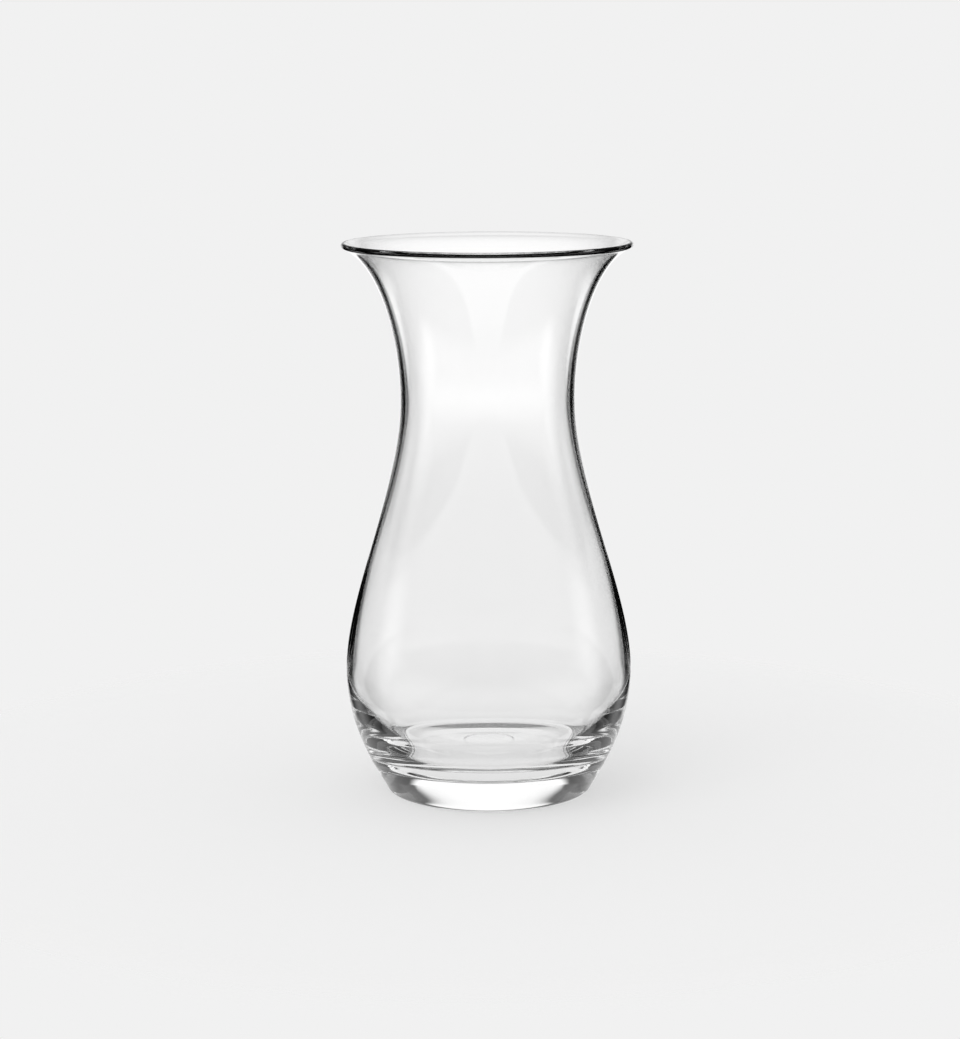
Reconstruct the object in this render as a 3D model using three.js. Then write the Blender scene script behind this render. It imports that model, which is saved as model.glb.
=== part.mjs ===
import * as THREE from 'three';

// Clear glass flower vase, blown as one piece: a heavy base with a shallow hollow under it,
// a round belly low down, a narrow neck, and a wide flared mouth with a rounded lip.
// Millimetres, +Z up. The vase stands on z = 0 and Z is the axis of its round form.

// Outer form
const HEIGHT = 280;
const RIM_DIAMETER = 146;
const NECK_DIAMETER = 88;
const NECK_HEIGHT = 200.5;
const BELLY_DIAMETER = 145.6;
const BELLY_HEIGHT = 63.5;
const FOOT_DIAMETER = 98.6; // outer edge of the flat ring it stands on
const FOOT_CORNER_RADIUS = 4;
const HOLLOW_DIAMETER = 90; // inner edge of that ring, where the hollow under the base begins
const HOLLOW_DEPTH = 1.6;

// Glass thickness
const BASE_THICKNESS = 18; // from the standing plane to the floor inside
const BELLY_WALL = 3;
const SHOULDER_WALL = 1.6; // where the bubble was blown thinnest
const SHOULDER_HEIGHT = 120;
const NECK_WALL = 2.6;
const LIP_THICKNESS = 2.8;

// Inner form of the base
const FLOOR_DIAMETER = 77.8; // the flat part of the floor
const FLOOR_CORNER_RADIUS = 21.6;

// How far the wall leans outwards from upright, in degrees
const FOOT_WALL_LEAN = 25;
const BOWL_LEAN = 29.7;
const LIP_LEAN = 67.5;

// How far each sweep of the wall keeps the direction it has at its end. A long reach is a slow curve.
const OUTER_REACH = {
  foot: 7.2,
  belowBelly: 32.7,
  aboveBelly: 36,
  belowNeck: 43.4,
  aboveNeck: 31.5,
  lip: 19.8,
};
const INNER_REACH = { floor: 11.5, belowBelly: 17 };

// Facets of the turned form
const TURN_FACETS = 48;
const SWEEP_STEPS = 8;
const CORNER_STEPS = 4;
const LIP_STEPS = 8;

const radians = THREE.MathUtils.degToRad;
const UPRIGHT = 0;

// Unit vector in the plane of the profile (x is the radius, y the height), leaning out from upright.
function direction(lean) {
  return new THREE.Vector2(Math.sin(radians(lean)), Math.cos(radians(lean)));
}

// One sweep of the wall, from a lower point to a higher one.
function sweep(from, fromLean, fromReach, to, toLean, toReach) {
  const leave = from.clone().addScaledVector(direction(fromLean), fromReach);
  const arrive = to.clone().addScaledVector(direction(toLean), -toReach);
  return new THREE.CubicBezierCurve(from, leave, arrive, to);
}

// Rounded corner from a level face, which ends at the given radius, up into a wall that leans.
function corner(radius, height, cornerRadius, wallLean) {
  const start = -Math.PI / 2;
  const end = -radians(wallLean);
  return new THREE.EllipseCurve(radius, height + cornerRadius, cornerRadius, cornerRadius, start, end);
}

// Shallow dome from the axis out to the standing ring.
function hollowUnderBase() {
  const edge = HOLLOW_DIAMETER / 2;
  const domeRadius = (edge * edge + HOLLOW_DEPTH * HOLLOW_DEPTH) / (2 * HOLLOW_DEPTH);
  const edgeAngle = Math.acos(edge / domeRadius);
  const centreHeight = HOLLOW_DEPTH - domeRadius;
  return new THREE.EllipseCurve(0, centreHeight, domeRadius, domeRadius, Math.PI / 2, edgeAngle, true);
}

// Half-round lip: it joins the outer sweep to the inner face, and both run into it smoothly.
function lip() {
  const radius = LIP_THICKNESS / 2;
  const across = RIM_DIAMETER / 2 - radius;
  const start = -radians(LIP_LEAN);
  return new THREE.EllipseCurve(across, HEIGHT - radius, radius, radius, start, start + Math.PI);
}

// Thickness of the wall from the belly up, eased from each height where it is known to the next.
function wallAboveBelly(height, lipStart) {
  const known = [
    [BELLY_HEIGHT, BELLY_WALL],
    [SHOULDER_HEIGHT, SHOULDER_WALL],
    [NECK_HEIGHT, NECK_WALL],
    [lipStart, LIP_THICKNESS],
  ];
  let wall = BELLY_WALL;
  for (let i = 1; i < known.length; i++) {
    const share = THREE.MathUtils.smoothstep(height, known[i - 1][0], known[i][0]);
    wall += (known[i][1] - known[i - 1][1]) * share;
  }
  return wall;
}

// Inner face of a sweep: each of its points moved in by the thickness of the wall there.
function innerFace(curve, steps, lipStart) {
  return curve.getPoints(steps).map((point, i) => {
    const along = curve.getTangent(i / steps);
    const inward = new THREE.Vector2(-along.y, along.x);
    return point.clone().addScaledVector(inward, wallAboveBelly(point.y, lipStart));
  });
}

// Profile of the glass: out along the underside, up the outside, over the lip, down the inside
// and in along the floor.
function glassProfile() {
  const rim = lip();
  const rimOutside = rim.getPoint(0);
  const footCorner = corner(FOOT_DIAMETER / 2, 0, FOOT_CORNER_RADIUS, FOOT_WALL_LEAN);
  const belly = new THREE.Vector2(BELLY_DIAMETER / 2, BELLY_HEIGHT);
  const neck = new THREE.Vector2(NECK_DIAMETER / 2, NECK_HEIGHT);
  const out = OUTER_REACH;
  const bowl = sweep(footCorner.getPoint(1), FOOT_WALL_LEAN, out.foot, belly, UPRIGHT, out.belowBelly);
  const shoulder = sweep(belly, UPRIGHT, out.aboveBelly, neck, UPRIGHT, out.belowNeck);
  const flare = sweep(neck, UPRIGHT, out.aboveNeck, rimOutside, LIP_LEAN, out.lip);
  const outside = [
    ...hollowUnderBase().getPoints(CORNER_STEPS),
    ...footCorner.getPoints(CORNER_STEPS),
    ...bowl.getPoints(SWEEP_STEPS),
    ...shoulder.getPoints(SWEEP_STEPS),
    ...flare.getPoints(SWEEP_STEPS),
    ...rim.getPoints(LIP_STEPS),
  ];

  const floorCorner = corner(FLOOR_DIAMETER / 2, BASE_THICKNESS, FLOOR_CORNER_RADIUS, BOWL_LEAN);
  const innerBelly = new THREE.Vector2(BELLY_DIAMETER / 2 - BELLY_WALL, BELLY_HEIGHT);
  const inn = INNER_REACH;
  const floorEdge = floorCorner.getPoint(1);
  const innerBowl = sweep(floorEdge, BOWL_LEAN, inn.floor, innerBelly, UPRIGHT, inn.belowBelly);
  const inside = [
    new THREE.Vector2(0, BASE_THICKNESS),
    ...floorCorner.getPoints(CORNER_STEPS),
    ...innerBowl.getPoints(SWEEP_STEPS),
    ...innerFace(shoulder, SWEEP_STEPS, rimOutside.y),
    ...innerFace(flare, SWEEP_STEPS, rimOutside.y),
  ];
  return withoutRepeats([...outside, ...inside.reverse()]);
}

// Where one stretch ends and the next begins, the shared point is kept once.
function withoutRepeats(points) {
  const nearest = 0.01;
  return points.filter((point, i) => i === 0 || point.distanceTo(points[i - 1]) > nearest);
}

// Turned about its own Y, then stood up so that the axis is Z.
function vaseBody() {
  const profile = glassProfile();
  profile[0].x = 0;
  const geometry = new THREE.LatheGeometry(profile, TURN_FACETS).rotateX(Math.PI / 2);
  const clearGlass = new THREE.MeshStandardMaterial({
    color: 0xf1f3f2,
    roughness: 0.03,
    metalness: 0,
    transparent: true,
    opacity: 0.35,
  });
  const mesh = new THREE.Mesh(geometry, clearGlass);
  mesh.name = 'vase_body';
  return mesh;
}

const vase = new THREE.Group();
vase.add(vaseBody());

export default vase;
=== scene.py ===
import math

import bpy
from mathutils import Euler, Matrix, Vector


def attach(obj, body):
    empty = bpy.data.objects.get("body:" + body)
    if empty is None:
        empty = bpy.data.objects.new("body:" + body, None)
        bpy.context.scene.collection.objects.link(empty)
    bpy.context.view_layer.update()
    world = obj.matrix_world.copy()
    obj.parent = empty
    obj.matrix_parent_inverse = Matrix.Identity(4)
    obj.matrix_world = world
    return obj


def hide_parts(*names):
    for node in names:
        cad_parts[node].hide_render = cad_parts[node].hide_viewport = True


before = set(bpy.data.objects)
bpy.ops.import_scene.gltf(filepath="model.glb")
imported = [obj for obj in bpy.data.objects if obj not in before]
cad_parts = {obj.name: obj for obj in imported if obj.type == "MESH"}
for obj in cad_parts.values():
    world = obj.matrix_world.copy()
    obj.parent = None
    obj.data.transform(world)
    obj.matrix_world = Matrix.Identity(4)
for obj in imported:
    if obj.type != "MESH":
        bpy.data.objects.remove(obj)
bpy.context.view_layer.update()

MM = 0.001

# Outer form of the vase, in millimetres
HEIGHT = 280
RIM_DIAMETER = 146
NECK_DIAMETER = 88
NECK_HEIGHT = 200.5
BELLY_DIAMETER = 145.6
BELLY_HEIGHT = 63.5
FOOT_DIAMETER = 98.6
FOOT_CORNER_RADIUS = 4
HOLLOW_DIAMETER = 90
HOLLOW_DEPTH = 1.6

# Round mark that the glassmaker's iron left in the hollow under the base, in millimetres
MARK_RADIUS = 13.5
MARK_EDGE = 1.6
MARK_DEPTH = 0.25

# Thickness of the glass, in millimetres
BASE_THICKNESS = 18
BELLY_WALL = 3
SHOULDER_WALL = 1.6
SHOULDER_HEIGHT = 120
NECK_WALL = 2.6
LIP_THICKNESS = 2.8

# Inner form of the base, in millimetres
FLOOR_DIAMETER = 77.8
FLOOR_CORNER_RADIUS = 21.6

# Lean of the wall from upright, in degrees
UPRIGHT = 0
FOOT_WALL_LEAN = 25
BOWL_LEAN = 29.7
LIP_LEAN = 67.5

# How far each sweep of the wall keeps the direction it has at its end, in millimetres
OUTER_REACH = dict(
    foot=7.2, below_belly=32.7, above_belly=36, below_neck=43.4, above_neck=31.5, lip=19.8)
INNER_REACH = dict(floor=11.5, below_belly=17)

# Fineness of the turned glass, and distances in millimetres within which points are one
TURN_STEPS = 256
SWEEP_STEPS = 36
CORNER_STEPS = 14
HOLLOW_STEPS = 90
OUTLINE_GAP = 0.0001
SEAM_GAP = 0.002

# Slow waves that blowing leaves in the faces of the glass, in millimetres
WAVE_LENGTH = 30
WAVE_HEIGHT = 0.03

# Photograph's frame and focal length in pixels, and the longer side of the sensor in millimetres
FRAME_HEIGHT = 1039
FOCAL_PIXELS = 2732
SENSOR = 36

# Camera's place in metres and its turns in degrees
CAMERA_DISTANCE = 1.365
CAMERA_HEIGHT = 0.381
CAMERA_ASIDE = -0.0041
CAMERA_PITCH = 10.04
CAMERA_ROLL = -0.26

# Round table top, just under the foot, in metres
PAPER = "#F1F1F1"
WHITE = "#FFFFFF"
TABLE_RADIUS = 0.34
TABLE_FADE = 0.06
TABLE_DROP = 0.0003
TABLE_SIDES = 96

# White card that lies under the vase, bends up behind it and grows wider with its height, in metres
CARD_FRONT = 0.9
CARD_BACK = 0.6
CARD_BEND = 0.05
CARD_BEND_STEPS = 12
CARD_TOP = 0.34
CARD_NEAR_HALF = 0.12
CARD_FAR_HALF = 0.17
CARD_HIGH_HALF = 0.16
CARD_WIDEN_FROM = 0.09
CARD_WIDEN_TO = 0.22

# Soft edges of the card, at the sides as a share of its half width and elsewhere in metres
CARD_SOFT = 0.12
CARD_FRONT_SOFT = 0.85
CARD_TOP_SOFT = 0.06

# Share of the card's light that lasts past its sides, and how far from the foot, in metres
CARD_ROUND_LEVEL = 0.2
CARD_ROUND_FROM = 0.15
CARD_ROUND_TO = 0.27

# Painted light of the card, which glows brighter with its height and dims near its top, heights in metres
CARD_LOW_LEVEL = 0.93
CARD_HIGH_LEVEL = 1.08
CARD_LOW_HEIGHT = 0.05
CARD_BRIGHT_HEIGHT = 0.2
CARD_DIM = 0.92
CARD_DIM_FROM = 0.25
CARD_DIM_TO = 0.3

# Shade on the card in front of and under the vase, from front to back in metres
CARD_SHADE = 0.85
CARD_SHADE_FROM = -0.06
CARD_SHADE_TO = 0.3

# Strips of brighter painted light near the card's sides, in shares of its half width
CARD_STRIP_GAIN = 1.1
CARD_STRIP_FROM = 0.62
CARD_STRIP_TO = 0.88

# Room that the glass shows past the card: levels, and the Y of the directions that have them
ROOM_FRONT = 0.08
ROOM_FRONT_Y = -1.0
ROOM_SIDE = 0.004
ROOM_SIDE_Y = 0.8

# Ceiling that the glass shows: its level overhead, and the Z of the directions where it begins and is full
OVERHEAD_LEVEL = 0.15
OVERHEAD_START = 0.0
OVERHEAD_FULL = 1.0

# White panels for the other sides of the vase, alike left and right, with bearings from +Y, in degrees
PANELS = (
    dict(bearing=0, half=10, low=8, high=22, side_soft=9, end_soft=5, level=0.88),
    dict(bearing=45, half=9, low=-32, high=-14, side_soft=9, end_soft=5, level=0.88),
    dict(bearing=90, half=10, low=-21, high=12, side_soft=9, end_soft=6, level=0.88),
    dict(bearing=142, half=52, low=-28, high=-5, side_soft=9, end_soft=8, level=0.94),
)

# Light on the table: even fill, and a soft lamp from above with its angles in degrees
FILL_LEVEL = 0.8
KEY_ENERGY = 0.767
KEY_SPREAD = 40
KEY_TILT = 25

# How often light may pass or turn back at a face, enough for the thick base
THROUGH_BOUNCES = 32
MIRROR_BOUNCES = 16


def linear(hex_colour):
    """sRGB hex colour as linear RGBA."""
    channels = [int(hex_colour[i:i + 2], 16) / 255 for i in (1, 3, 5)]
    return [c / 12.92 if c <= 0.04045 else ((c + 0.055) / 1.055) ** 2.4 for c in channels] + [1]


def add(tree, kind, inputs=None, **settings):
    """Adds a node, sets it and fills its inputs with values or with links from other nodes' sockets."""
    node = tree.nodes.new(kind)
    for name, value in settings.items():
        setattr(node, name, value)
    for key, value in (inputs or {}).items():
        if isinstance(value, bpy.types.NodeSocket):
            tree.links.new(value, node.inputs[key])
        else:
            node.inputs[key].default_value = value
    return node


def heading(lean):
    """Unit vector in the plane of the outline, x the radius and y the height."""
    return Vector((math.sin(math.radians(lean)), math.cos(math.radians(lean))))


def ease(share):
    """Zero to one with a slow start and end."""
    return share * share * (3 - 2 * share)


def sweep(start, start_lean, start_reach, end, end_lean, end_reach, wall=None):
    """Points of one sweep of the wall, from a lower point to a higher one, or of its inner face."""
    leave = start + heading(start_lean) * start_reach
    arrive = end - heading(end_lean) * end_reach
    points = []
    for i in range(SWEEP_STEPS + 1):
        t = i / SWEEP_STEPS
        s = 1 - t
        point = start * s**3 + leave * 3 * s * s * t + arrive * 3 * s * t * t + end * t**3
        if wall:
            along = (leave - start) * s * s + (arrive - leave) * 2 * s * t + (end - arrive) * t * t
            point = point + Vector((-along.y, along.x)).normalized() * wall(point.y)
        points.append(point)
    return points


def wall_above_belly(height, lip_start):
    """Thickness of the wall, eased from each height where it is known to the next."""
    known = (
        (BELLY_HEIGHT, BELLY_WALL),
        (SHOULDER_HEIGHT, SHOULDER_WALL),
        (NECK_HEIGHT, NECK_WALL),
        (lip_start, LIP_THICKNESS),
    )
    for (low, lower_wall), (high, upper_wall) in zip(known, known[1:]):
        if height <= high:
            return lower_wall + (upper_wall - lower_wall) * ease((height - low) / (high - low))
    return LIP_THICKNESS


def arc(centre, radius, start, end):
    """Points on a circle, angles in degrees from the direction away from the axis."""
    angles = [math.radians(start + (end - start) * i / CORNER_STEPS) for i in range(CORNER_STEPS + 1)]
    return [centre + radius * Vector((math.cos(a), math.sin(a))) for a in angles]


def corner(radius, height, corner_radius, wall_lean):
    """Rounded corner from a level face up into a leaning wall."""
    return arc(Vector((radius, height + corner_radius)), corner_radius, -90, -wall_lean)


def hollow_under_base():
    """Shallow dome from the axis out to the standing ring, with the round mark in it."""
    edge = HOLLOW_DIAMETER / 2
    dome_radius = (edge**2 + HOLLOW_DEPTH**2) / (2 * HOLLOW_DEPTH)
    points = []
    for i in range(HOLLOW_STEPS + 1):
        radius = edge * i / HOLLOW_STEPS
        dome = HOLLOW_DEPTH - dome_radius + math.sqrt(dome_radius**2 - radius**2)
        within_mark = (MARK_RADIUS + MARK_EDGE / 2 - radius) / MARK_EDGE
        mark = MARK_DEPTH * ease(min(max(within_mark, 0), 1))
        points.append(Vector((radius, dome + mark)))
    return points


def glass_outline():
    """Out along the floor, up the inside, over the lip, down the outside and in along the underside."""
    lip_radius = LIP_THICKNESS / 2
    lip_centre = Vector((RIM_DIAMETER / 2 - lip_radius, HEIGHT - lip_radius))
    lip = arc(lip_centre, lip_radius, 180 - LIP_LEAN, -LIP_LEAN)
    belly = Vector((BELLY_DIAMETER / 2, BELLY_HEIGHT))
    neck = Vector((NECK_DIAMETER / 2, NECK_HEIGHT))
    out = OUTER_REACH
    shoulder = (belly, UPRIGHT, out["above_belly"], neck, UPRIGHT, out["below_neck"])
    flare = (neck, UPRIGHT, out["above_neck"], lip[-1], LIP_LEAN, out["lip"])

    def wall(height):
        return wall_above_belly(height, lip[-1].y)

    floor = corner(FLOOR_DIAMETER / 2, BASE_THICKNESS, FLOOR_CORNER_RADIUS, BOWL_LEAN)
    inner_belly = Vector((BELLY_DIAMETER / 2 - BELLY_WALL, BELLY_HEIGHT))
    inn = INNER_REACH
    inside = [
        [Vector((0, BASE_THICKNESS))],
        floor,
        sweep(floor[-1], BOWL_LEAN, inn["floor"], inner_belly, UPRIGHT, inn["below_belly"]),
        sweep(*shoulder, wall),
        sweep(*flare, wall),
        lip,
    ]
    foot = corner(FOOT_DIAMETER / 2, 0, FOOT_CORNER_RADIUS, FOOT_WALL_LEAN)
    outside = [
        hollow_under_base(),
        foot,
        sweep(foot[-1], FOOT_WALL_LEAN, out["foot"], belly, UPRIGHT, out["below_belly"]),
        sweep(*shoulder),
        sweep(*flare),
    ]
    path = [p for stretch in inside for p in stretch]
    path += [p for stretch in outside for p in stretch][::-1]
    return [p for i, p in enumerate(path) if i == 0 or (p - path[i - 1]).length > OUTLINE_GAP]


def turning_tree(material):
    """Turns an outline, drawn in the XZ plane, once round the Z axis into a closed glass body."""
    tree = bpy.data.node_groups.new("turned glass", "GeometryNodeTree")
    sockets = tree.interface
    sockets.new_socket("Outline", in_out="INPUT", socket_type="NodeSocketGeometry")
    sockets.new_socket("Turn steps", in_out="INPUT", socket_type="NodeSocketInt")
    sockets.new_socket("Turning radius", in_out="INPUT", socket_type="NodeSocketFloat")
    sockets.new_socket("Glass", in_out="OUTPUT", socket_type="NodeSocketGeometry")
    given = add(tree, "NodeGroupInput")
    circle = add(tree, "GeometryNodeCurvePrimitiveCircle", {
        "Resolution": given.outputs["Turn steps"], "Radius": given.outputs["Turning radius"]})
    upright = add(tree, "GeometryNodeSetCurveNormal", {"Curve": circle.outputs["Curve"]}, mode="Z_UP")
    turned = add(tree, "GeometryNodeCurveToMesh", {
        "Curve": upright.outputs["Curve"], "Profile Curve": given.outputs["Outline"]})
    closed = add(tree, "GeometryNodeMergeByDistance", {
        "Geometry": turned.outputs["Mesh"], "Distance": SEAM_GAP * MM})
    smooth = add(tree, "GeometryNodeSetShadeSmooth", {"Geometry": closed.outputs["Geometry"]})
    real = add(tree, "GeometryNodeRealizeInstances", {"Geometry": smooth.outputs["Geometry"]})
    glass = add(tree, "GeometryNodeSetMaterial", {
        "Geometry": real.outputs["Geometry"], "Material": material})
    add(tree, "NodeGroupOutput", {"Glass": glass.outputs["Geometry"]})
    return tree


def vase_body(material):
    """The whole vase, turned from its outline and kept as a plain mesh."""
    turning_radius = 1 * MM
    curve = bpy.data.curves.new("vase outline", "CURVE")
    curve.dimensions = "3D"
    outline = glass_outline()
    spline = curve.splines.new("POLY")
    spline.points.add(len(outline) - 1)
    for point, place in zip(spline.points, outline):
        point.co = (place.x * MM - turning_radius, -place.y * MM, 0, 1)
    maker = bpy.data.objects.new("vase maker", curve)
    bpy.context.scene.collection.objects.link(maker)
    tree = turning_tree(material)
    turning = maker.modifiers.new("turning", "NODES")
    turning.node_group = tree
    values = {"Turn steps": TURN_STEPS, "Turning radius": turning_radius}
    for item in tree.interface.items_tree:
        if item.name in values:
            turning[item.identifier] = values[item.name]
    graph = bpy.context.evaluated_depsgraph_get()
    mesh = bpy.data.meshes.new_from_object(maker.evaluated_get(graph))
    mesh.name = "vase"
    bpy.data.objects.remove(maker)
    vase = bpy.data.objects.new("vase", mesh)
    bpy.context.scene.collection.objects.link(vase)
    return vase


def clear_glass():
    """Soda-lime glass, blown and fire-polished: colourless, and smooth enough to act as a lens.

    Slow waves in its faces make what shows through it wander a little, as in blown glass.
    Lamp light and light from the table pass straight through, so the shadow stays pale.
    """
    material = bpy.data.materials.new("clear soda-lime glass, blown and fire-polished")
    material.use_nodes = True
    tree = material.node_tree
    tree.nodes.clear()
    place = add(tree, "ShaderNodeTexCoord")
    waves = add(tree, "ShaderNodeTexNoise", {
        "Vector": place.outputs["Object"], "Scale": 1 / (WAVE_LENGTH * MM), "Detail": 0.0})
    wavy = add(tree, "ShaderNodeBump", {
        "Strength": 1.0, "Distance": WAVE_HEIGHT * MM, "Height": waves.outputs["Fac"]})
    glass = add(tree, "ShaderNodeBsdfPrincipled", {
        "Base Color": linear(WHITE), "Roughness": 0.0, "IOR": 1.52, "Transmission Weight": 1.0,
        "Normal": wavy.outputs["Normal"]})
    through = add(tree, "ShaderNodeBsdfTransparent", {"Color": linear("#F4F4F4")})
    path = add(tree, "ShaderNodeLightPath")
    to_lamps = add(tree, "ShaderNodeMixShader", {
        0: path.outputs["Is Shadow Ray"], 1: glass.outputs["BSDF"], 2: through.outputs["BSDF"]})
    to_table = add(tree, "ShaderNodeMixShader", {
        0: path.outputs["Is Diffuse Ray"], 1: to_lamps.outputs["Shader"], 2: through.outputs["BSDF"]})
    add(tree, "ShaderNodeOutputMaterial", {"Surface": to_table.outputs["Shader"]})
    return material


def pale_table():
    """Matt white laminate, even and without shine, whose edge fades into the background."""
    material = bpy.data.materials.new("matt white laminate table top")
    material.use_nodes = True
    tree = material.node_tree
    tree.nodes.clear()
    place = add(tree, "ShaderNodeTexCoord")
    distance = add(tree, "ShaderNodeVectorMath", {0: place.outputs["Object"]}, operation="LENGTH")
    fade = add(tree, "ShaderNodeMapRange", {
        "Value": distance.outputs["Value"],
        "From Min": TABLE_RADIUS - TABLE_FADE, "From Max": TABLE_RADIUS},
        interpolation_type="SMOOTHSTEP")
    matt = add(tree, "ShaderNodeBsdfDiffuse", {"Color": linear(PAPER)})
    gone = add(tree, "ShaderNodeBsdfTransparent")
    surface = add(tree, "ShaderNodeMixShader", {
        0: fade.outputs["Result"], 1: matt.outputs["BSDF"], 2: gone.outputs["BSDF"]})
    add(tree, "ShaderNodeOutputMaterial", {"Surface": surface.outputs["Shader"]})
    return material


def table():
    """Round table top that keeps the shadow of the vase. The glass shows the card in its place."""
    mesh = bpy.data.meshes.new("table top")
    rim = [(TABLE_RADIUS * math.cos(a), TABLE_RADIUS * math.sin(a), -TABLE_DROP)
           for a in (2 * math.pi * i / TABLE_SIDES for i in range(TABLE_SIDES))]
    mesh.from_pydata(rim, [], [list(range(TABLE_SIDES))])
    mesh.materials.append(pale_table())
    top = bpy.data.objects.new("table top", mesh)
    top.visible_glossy = False
    top.visible_transmission = False
    bpy.context.scene.collection.objects.link(top)


def glowing_card():
    """White card that glows with painted light, brighter the higher it stands, which the glass shows and
    whose edges fade.
    """
    material = bpy.data.materials.new("white card glowing with painted light")
    material.use_nodes = True
    tree = material.node_tree
    tree.nodes.clear()
    place = add(tree, "ShaderNodeTexCoord")
    axis = add(tree, "ShaderNodeSeparateXYZ", {0: place.outputs["Object"]})
    rising = add(tree, "ShaderNodeMapRange", {
        "Value": axis.outputs["Z"], "From Min": CARD_LOW_HEIGHT, "From Max": CARD_BRIGHT_HEIGHT,
        "To Min": CARD_LOW_LEVEL, "To Max": CARD_HIGH_LEVEL}, interpolation_type="SMOOTHSTEP")
    dimming = add(tree, "ShaderNodeMapRange", {
        "Value": axis.outputs["Z"], "From Min": CARD_DIM_FROM, "From Max": CARD_DIM_TO,
        "To Min": 1.0, "To Max": CARD_DIM}, interpolation_type="SMOOTHSTEP")
    standing = add(tree, "ShaderNodeMath", {
        0: rising.outputs["Result"], 1: dimming.outputs["Result"]}, operation="MULTIPLY")
    # Painted shadow of the vase: the card's glow is lowered in front of and under it
    shade = add(tree, "ShaderNodeMapRange", {
        "Value": axis.outputs["Y"], "From Min": CARD_SHADE_FROM, "From Max": CARD_SHADE_TO,
        "To Min": CARD_SHADE, "To Max": 1.0}, interpolation_type="SMOOTHSTEP")
    reach = add(tree, "ShaderNodeMapRange", {
        "Value": axis.outputs["Y"], "From Min": 0.0, "From Max": CARD_BACK,
        "To Min": CARD_NEAR_HALF, "To Max": CARD_FAR_HALF})
    widening = add(tree, "ShaderNodeMapRange", {
        "Value": axis.outputs["Z"], "From Min": CARD_WIDEN_FROM, "From Max": CARD_WIDEN_TO,
        "To Max": CARD_HIGH_HALF}, interpolation_type="SMOOTHSTEP")
    half = add(tree, "ShaderNodeMath", {
        0: reach.outputs["Result"], 1: widening.outputs["Result"]}, operation="ADD")
    aside = add(tree, "ShaderNodeMath", {0: axis.outputs["X"]}, operation="ABSOLUTE")
    share = add(tree, "ShaderNodeMath", {
        0: aside.outputs["Value"], 1: half.outputs["Value"]}, operation="DIVIDE")
    # Painted light: brighter strips near the card's sides
    strip = add(tree, "ShaderNodeMapRange", {
        "Value": share.outputs["Value"], "From Min": CARD_STRIP_FROM, "From Max": CARD_STRIP_TO,
        "To Min": 1.0, "To Max": CARD_STRIP_GAIN}, interpolation_type="SMOOTHSTEP")
    shaded = add(tree, "ShaderNodeMath", {
        0: standing.outputs["Value"], 1: shade.outputs["Result"]}, operation="MULTIPLY")
    level = add(tree, "ShaderNodeMath", {
        0: shaded.outputs["Value"], 1: strip.outputs["Result"]}, operation="MULTIPLY")
    # Painted light: the card glows by emission at this level, with no lamp on it
    lit = add(tree, "ShaderNodeEmission", {
        "Color": linear(WHITE), "Strength": level.outputs["Value"]})
    past_side = add(tree, "ShaderNodeMapRange", {
        "Value": share.outputs["Value"], "From Min": 1 - CARD_SOFT, "From Max": 1 + CARD_SOFT},
        interpolation_type="SMOOTHSTEP")
    past_top = add(tree, "ShaderNodeMapRange", {
        "Value": axis.outputs["Z"],
        "From Min": CARD_TOP - CARD_TOP_SOFT, "From Max": CARD_TOP + CARD_TOP_SOFT},
        interpolation_type="SMOOTHSTEP")
    past_front = add(tree, "ShaderNodeMapRange", {
        "Value": axis.outputs["Y"], "From Min": -CARD_FRONT, "From Max": CARD_FRONT_SOFT - CARD_FRONT,
        "To Min": 1.0, "To Max": 0.0}, interpolation_type="SMOOTHSTEP")
    past_end = add(tree, "ShaderNodeMath", {
        0: past_front.outputs["Result"], 1: past_top.outputs["Result"]}, operation="MAXIMUM")
    past_card = add(tree, "ShaderNodeMath", {
        0: past_side.outputs["Result"], 1: past_end.outputs["Value"]}, operation="MAXIMUM")
    away = add(tree, "ShaderNodeVectorMath", {0: place.outputs["Object"]}, operation="LENGTH")
    past_round = add(tree, "ShaderNodeMapRange", {
        "Value": away.outputs["Value"], "From Min": CARD_ROUND_FROM, "From Max": CARD_ROUND_TO,
        "To Min": 1 - CARD_ROUND_LEVEL, "To Max": 1.0}, interpolation_type="SMOOTHSTEP")
    fade = add(tree, "ShaderNodeMath", {
        0: past_card.outputs["Value"], 1: past_round.outputs["Result"]}, operation="MINIMUM")
    gone = add(tree, "ShaderNodeBsdfTransparent")
    surface = add(tree, "ShaderNodeMixShader", {
        0: fade.outputs["Value"], 1: lit.outputs["Emission"], 2: gone.outputs["BSDF"]})
    add(tree, "ShaderNodeOutputMaterial", {"Surface": surface.outputs["Shader"]})
    return material


def white_card():
    """Card that glows with painted light and that only the glass shows: the background of what is seen
    through it.
    """
    bend = [(CARD_BACK - CARD_BEND + CARD_BEND * math.sin(a), CARD_BEND - CARD_BEND * math.cos(a))
            for a in (math.pi / 2 * i / CARD_BEND_STEPS for i in range(CARD_BEND_STEPS + 1))]
    line = [(-CARD_FRONT, 0), *bend, (CARD_BACK, CARD_TOP + CARD_TOP_SOFT)]
    side = (CARD_FAR_HALF + CARD_HIGH_HALF) * (1 + CARD_SOFT)
    points = [(x, y, z - TABLE_DROP) for y, z in line for x in (-side, side)]
    faces = [(2 * i, 2 * i + 1, 2 * i + 3, 2 * i + 2) for i in range(len(line) - 1)]
    mesh = bpy.data.meshes.new("white card")
    mesh.from_pydata(points, [], faces)
    mesh.materials.append(glowing_card())
    card = bpy.data.objects.new("white card", mesh)
    card.visible_camera = False
    card.visible_diffuse = False
    card.visible_shadow = False
    bpy.context.scene.collection.objects.link(card)


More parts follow.
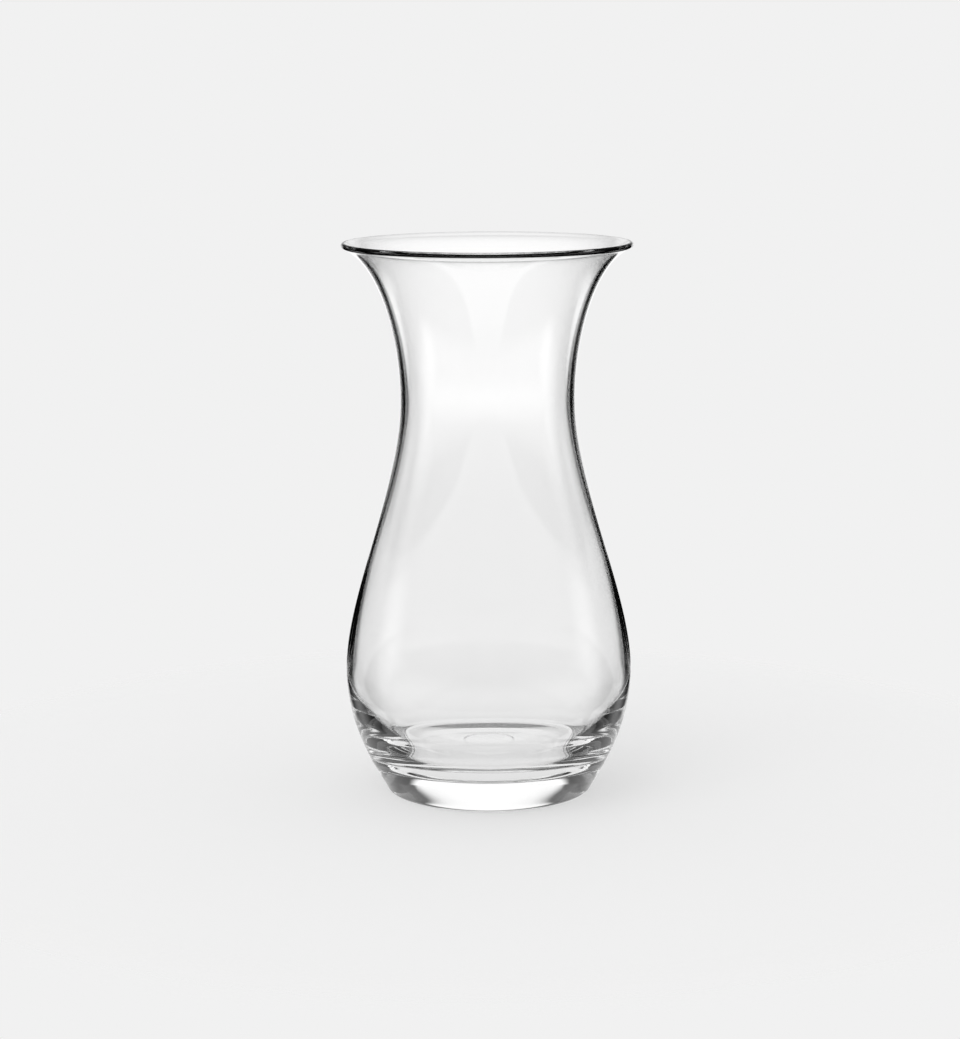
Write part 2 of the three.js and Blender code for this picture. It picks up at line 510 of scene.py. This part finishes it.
def between(tree, angle, low, high, soft):
    """One where the angle is between limits in degrees, easing to zero outside them."""
    rise = add(tree, "ShaderNodeMapRange", {
        "Value": angle, "From Min": math.radians(low - soft), "From Max": math.radians(low + soft)},
        interpolation_type="SMOOTHSTEP")
    fall = add(tree, "ShaderNodeMapRange", {
        "Value": angle, "From Min": math.radians(high - soft), "From Max": math.radians(high + soft),
        "To Min": 1.0, "To Max": 0.0}, interpolation_type="SMOOTHSTEP")
    both = add(tree, "ShaderNodeMath", {
        0: rise.outputs["Result"], 1: fall.outputs["Result"]}, operation="MULTIPLY")
    return both.outputs["Value"]


def studio_surround():
    """Paper white to the camera, even light on the table, and the room and its panels in the glass."""
    world = bpy.data.worlds.new("studio")
    bpy.context.scene.world = world
    world.use_nodes = True
    tree = world.node_tree
    tree.nodes.clear()
    toward = add(tree, "ShaderNodeTexCoord")
    axis = add(tree, "ShaderNodeSeparateXYZ", {0: toward.outputs["Generated"]})
    aside = add(tree, "ShaderNodeMath", {0: axis.outputs["X"]}, operation="ABSOLUTE")
    bearing = add(tree, "ShaderNodeMath", {
        0: aside.outputs["Value"], 1: axis.outputs["Y"]}, operation="ARCTAN2")
    elevation = add(tree, "ShaderNodeMath", {0: axis.outputs["Z"]}, operation="ARCSINE")
    room = add(tree, "ShaderNodeMapRange", {
        "Value": axis.outputs["Y"], "From Min": ROOM_FRONT_Y, "From Max": ROOM_SIDE_Y,
        "To Min": ROOM_FRONT, "To Max": ROOM_SIDE}, interpolation_type="SMOOTHSTEP")
    overhead = add(tree, "ShaderNodeMapRange", {
        "Value": axis.outputs["Z"], "From Min": OVERHEAD_START, "From Max": OVERHEAD_FULL,
        "To Max": OVERHEAD_LEVEL}, interpolation_type="SMOOTHSTEP")
    seen = add(tree, "ShaderNodeMath", {
        0: room.outputs["Result"], 1: overhead.outputs["Result"]}, operation="MAXIMUM")
    for panel in PANELS:
        left = panel["bearing"] - panel["half"]
        right = panel["bearing"] + panel["half"]
        across = between(tree, bearing.outputs["Value"], left, right, panel["side_soft"])
        upward = between(tree, elevation.outputs["Value"], panel["low"], panel["high"], panel["end_soft"])
        shape = add(tree, "ShaderNodeMath", {0: across, 1: upward}, operation="MULTIPLY")
        lit = add(tree, "ShaderNodeMath", {
            0: shape.outputs["Value"], 1: panel["level"]}, operation="MULTIPLY")
        seen = add(tree, "ShaderNodeMath", {
            0: seen.outputs["Value"], 1: lit.outputs["Value"]}, operation="MAXIMUM")
    seen_in_glass = add(tree, "ShaderNodeBackground", {"Color": seen.outputs["Value"], "Strength": 1.0})
    fill = add(tree, "ShaderNodeBackground", {"Color": linear(WHITE), "Strength": FILL_LEVEL})
    paper = add(tree, "ShaderNodeBackground", {"Color": linear(PAPER), "Strength": 1.0})
    path = add(tree, "ShaderNodeLightPath")
    in_glass = add(tree, "ShaderNodeMath", {
        0: path.outputs["Is Glossy Ray"], 1: path.outputs["Is Transmission Ray"]}, operation="MAXIMUM")
    mixed = add(tree, "ShaderNodeMixShader", {
        0: in_glass.outputs["Value"], 1: fill.outputs["Background"],
        2: seen_in_glass.outputs["Background"]})
    shown = add(tree, "ShaderNodeMixShader", {
        0: path.outputs["Is Camera Ray"], 1: mixed.outputs["Shader"], 2: paper.outputs["Background"]})
    add(tree, "ShaderNodeOutputWorld", {"Surface": shown.outputs["Shader"]})


def soft_lamp():
    """Broad lamp from above on one side, which gives the vase its faint shadow."""
    lamp = bpy.data.lights.new("soft key", "SUN")
    lamp.energy = KEY_ENERGY
    lamp.angle = math.radians(KEY_SPREAD)
    key = bpy.data.objects.new("soft key", lamp)
    key.rotation_euler = Euler((math.radians(KEY_TILT), math.radians(-KEY_TILT), 0))
    key.visible_glossy = False
    key.visible_transmission = False
    bpy.context.scene.collection.objects.link(key)


def photo_camera():
    """Camera in front of the vase, looking a little down, as the photograph was taken."""
    camera = bpy.data.objects.new("camera", bpy.data.cameras.new("camera"))
    camera.data.sensor_width = SENSOR
    camera.data.lens = SENSOR * FOCAL_PIXELS / FRAME_HEIGHT
    place = Matrix.Translation((CAMERA_ASIDE, -CAMERA_DISTANCE, CAMERA_HEIGHT))
    look = Euler((math.radians(90 - CAMERA_PITCH), 0, 0)).to_matrix()
    roll = Matrix.Rotation(math.radians(CAMERA_ROLL), 3, "Z")
    camera.matrix_world = place @ (look @ roll).to_4x4()
    bpy.context.scene.collection.objects.link(camera)
    bpy.context.scene.camera = camera


photo_camera()
vase = vase_body(clear_glass())
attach(vase, "root")
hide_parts("vase_body")
table()
white_card()
studio_surround()
soft_lamp()

scene = bpy.context.scene
scene.view_settings.view_transform = "Standard"
scene.cycles.max_bounces = THROUGH_BOUNCES
scene.cycles.transmission_bounces = THROUGH_BOUNCES
scene.cycles.transparent_max_bounces = THROUGH_BOUNCES
scene.cycles.glossy_bounces = MIRROR_BOUNCES
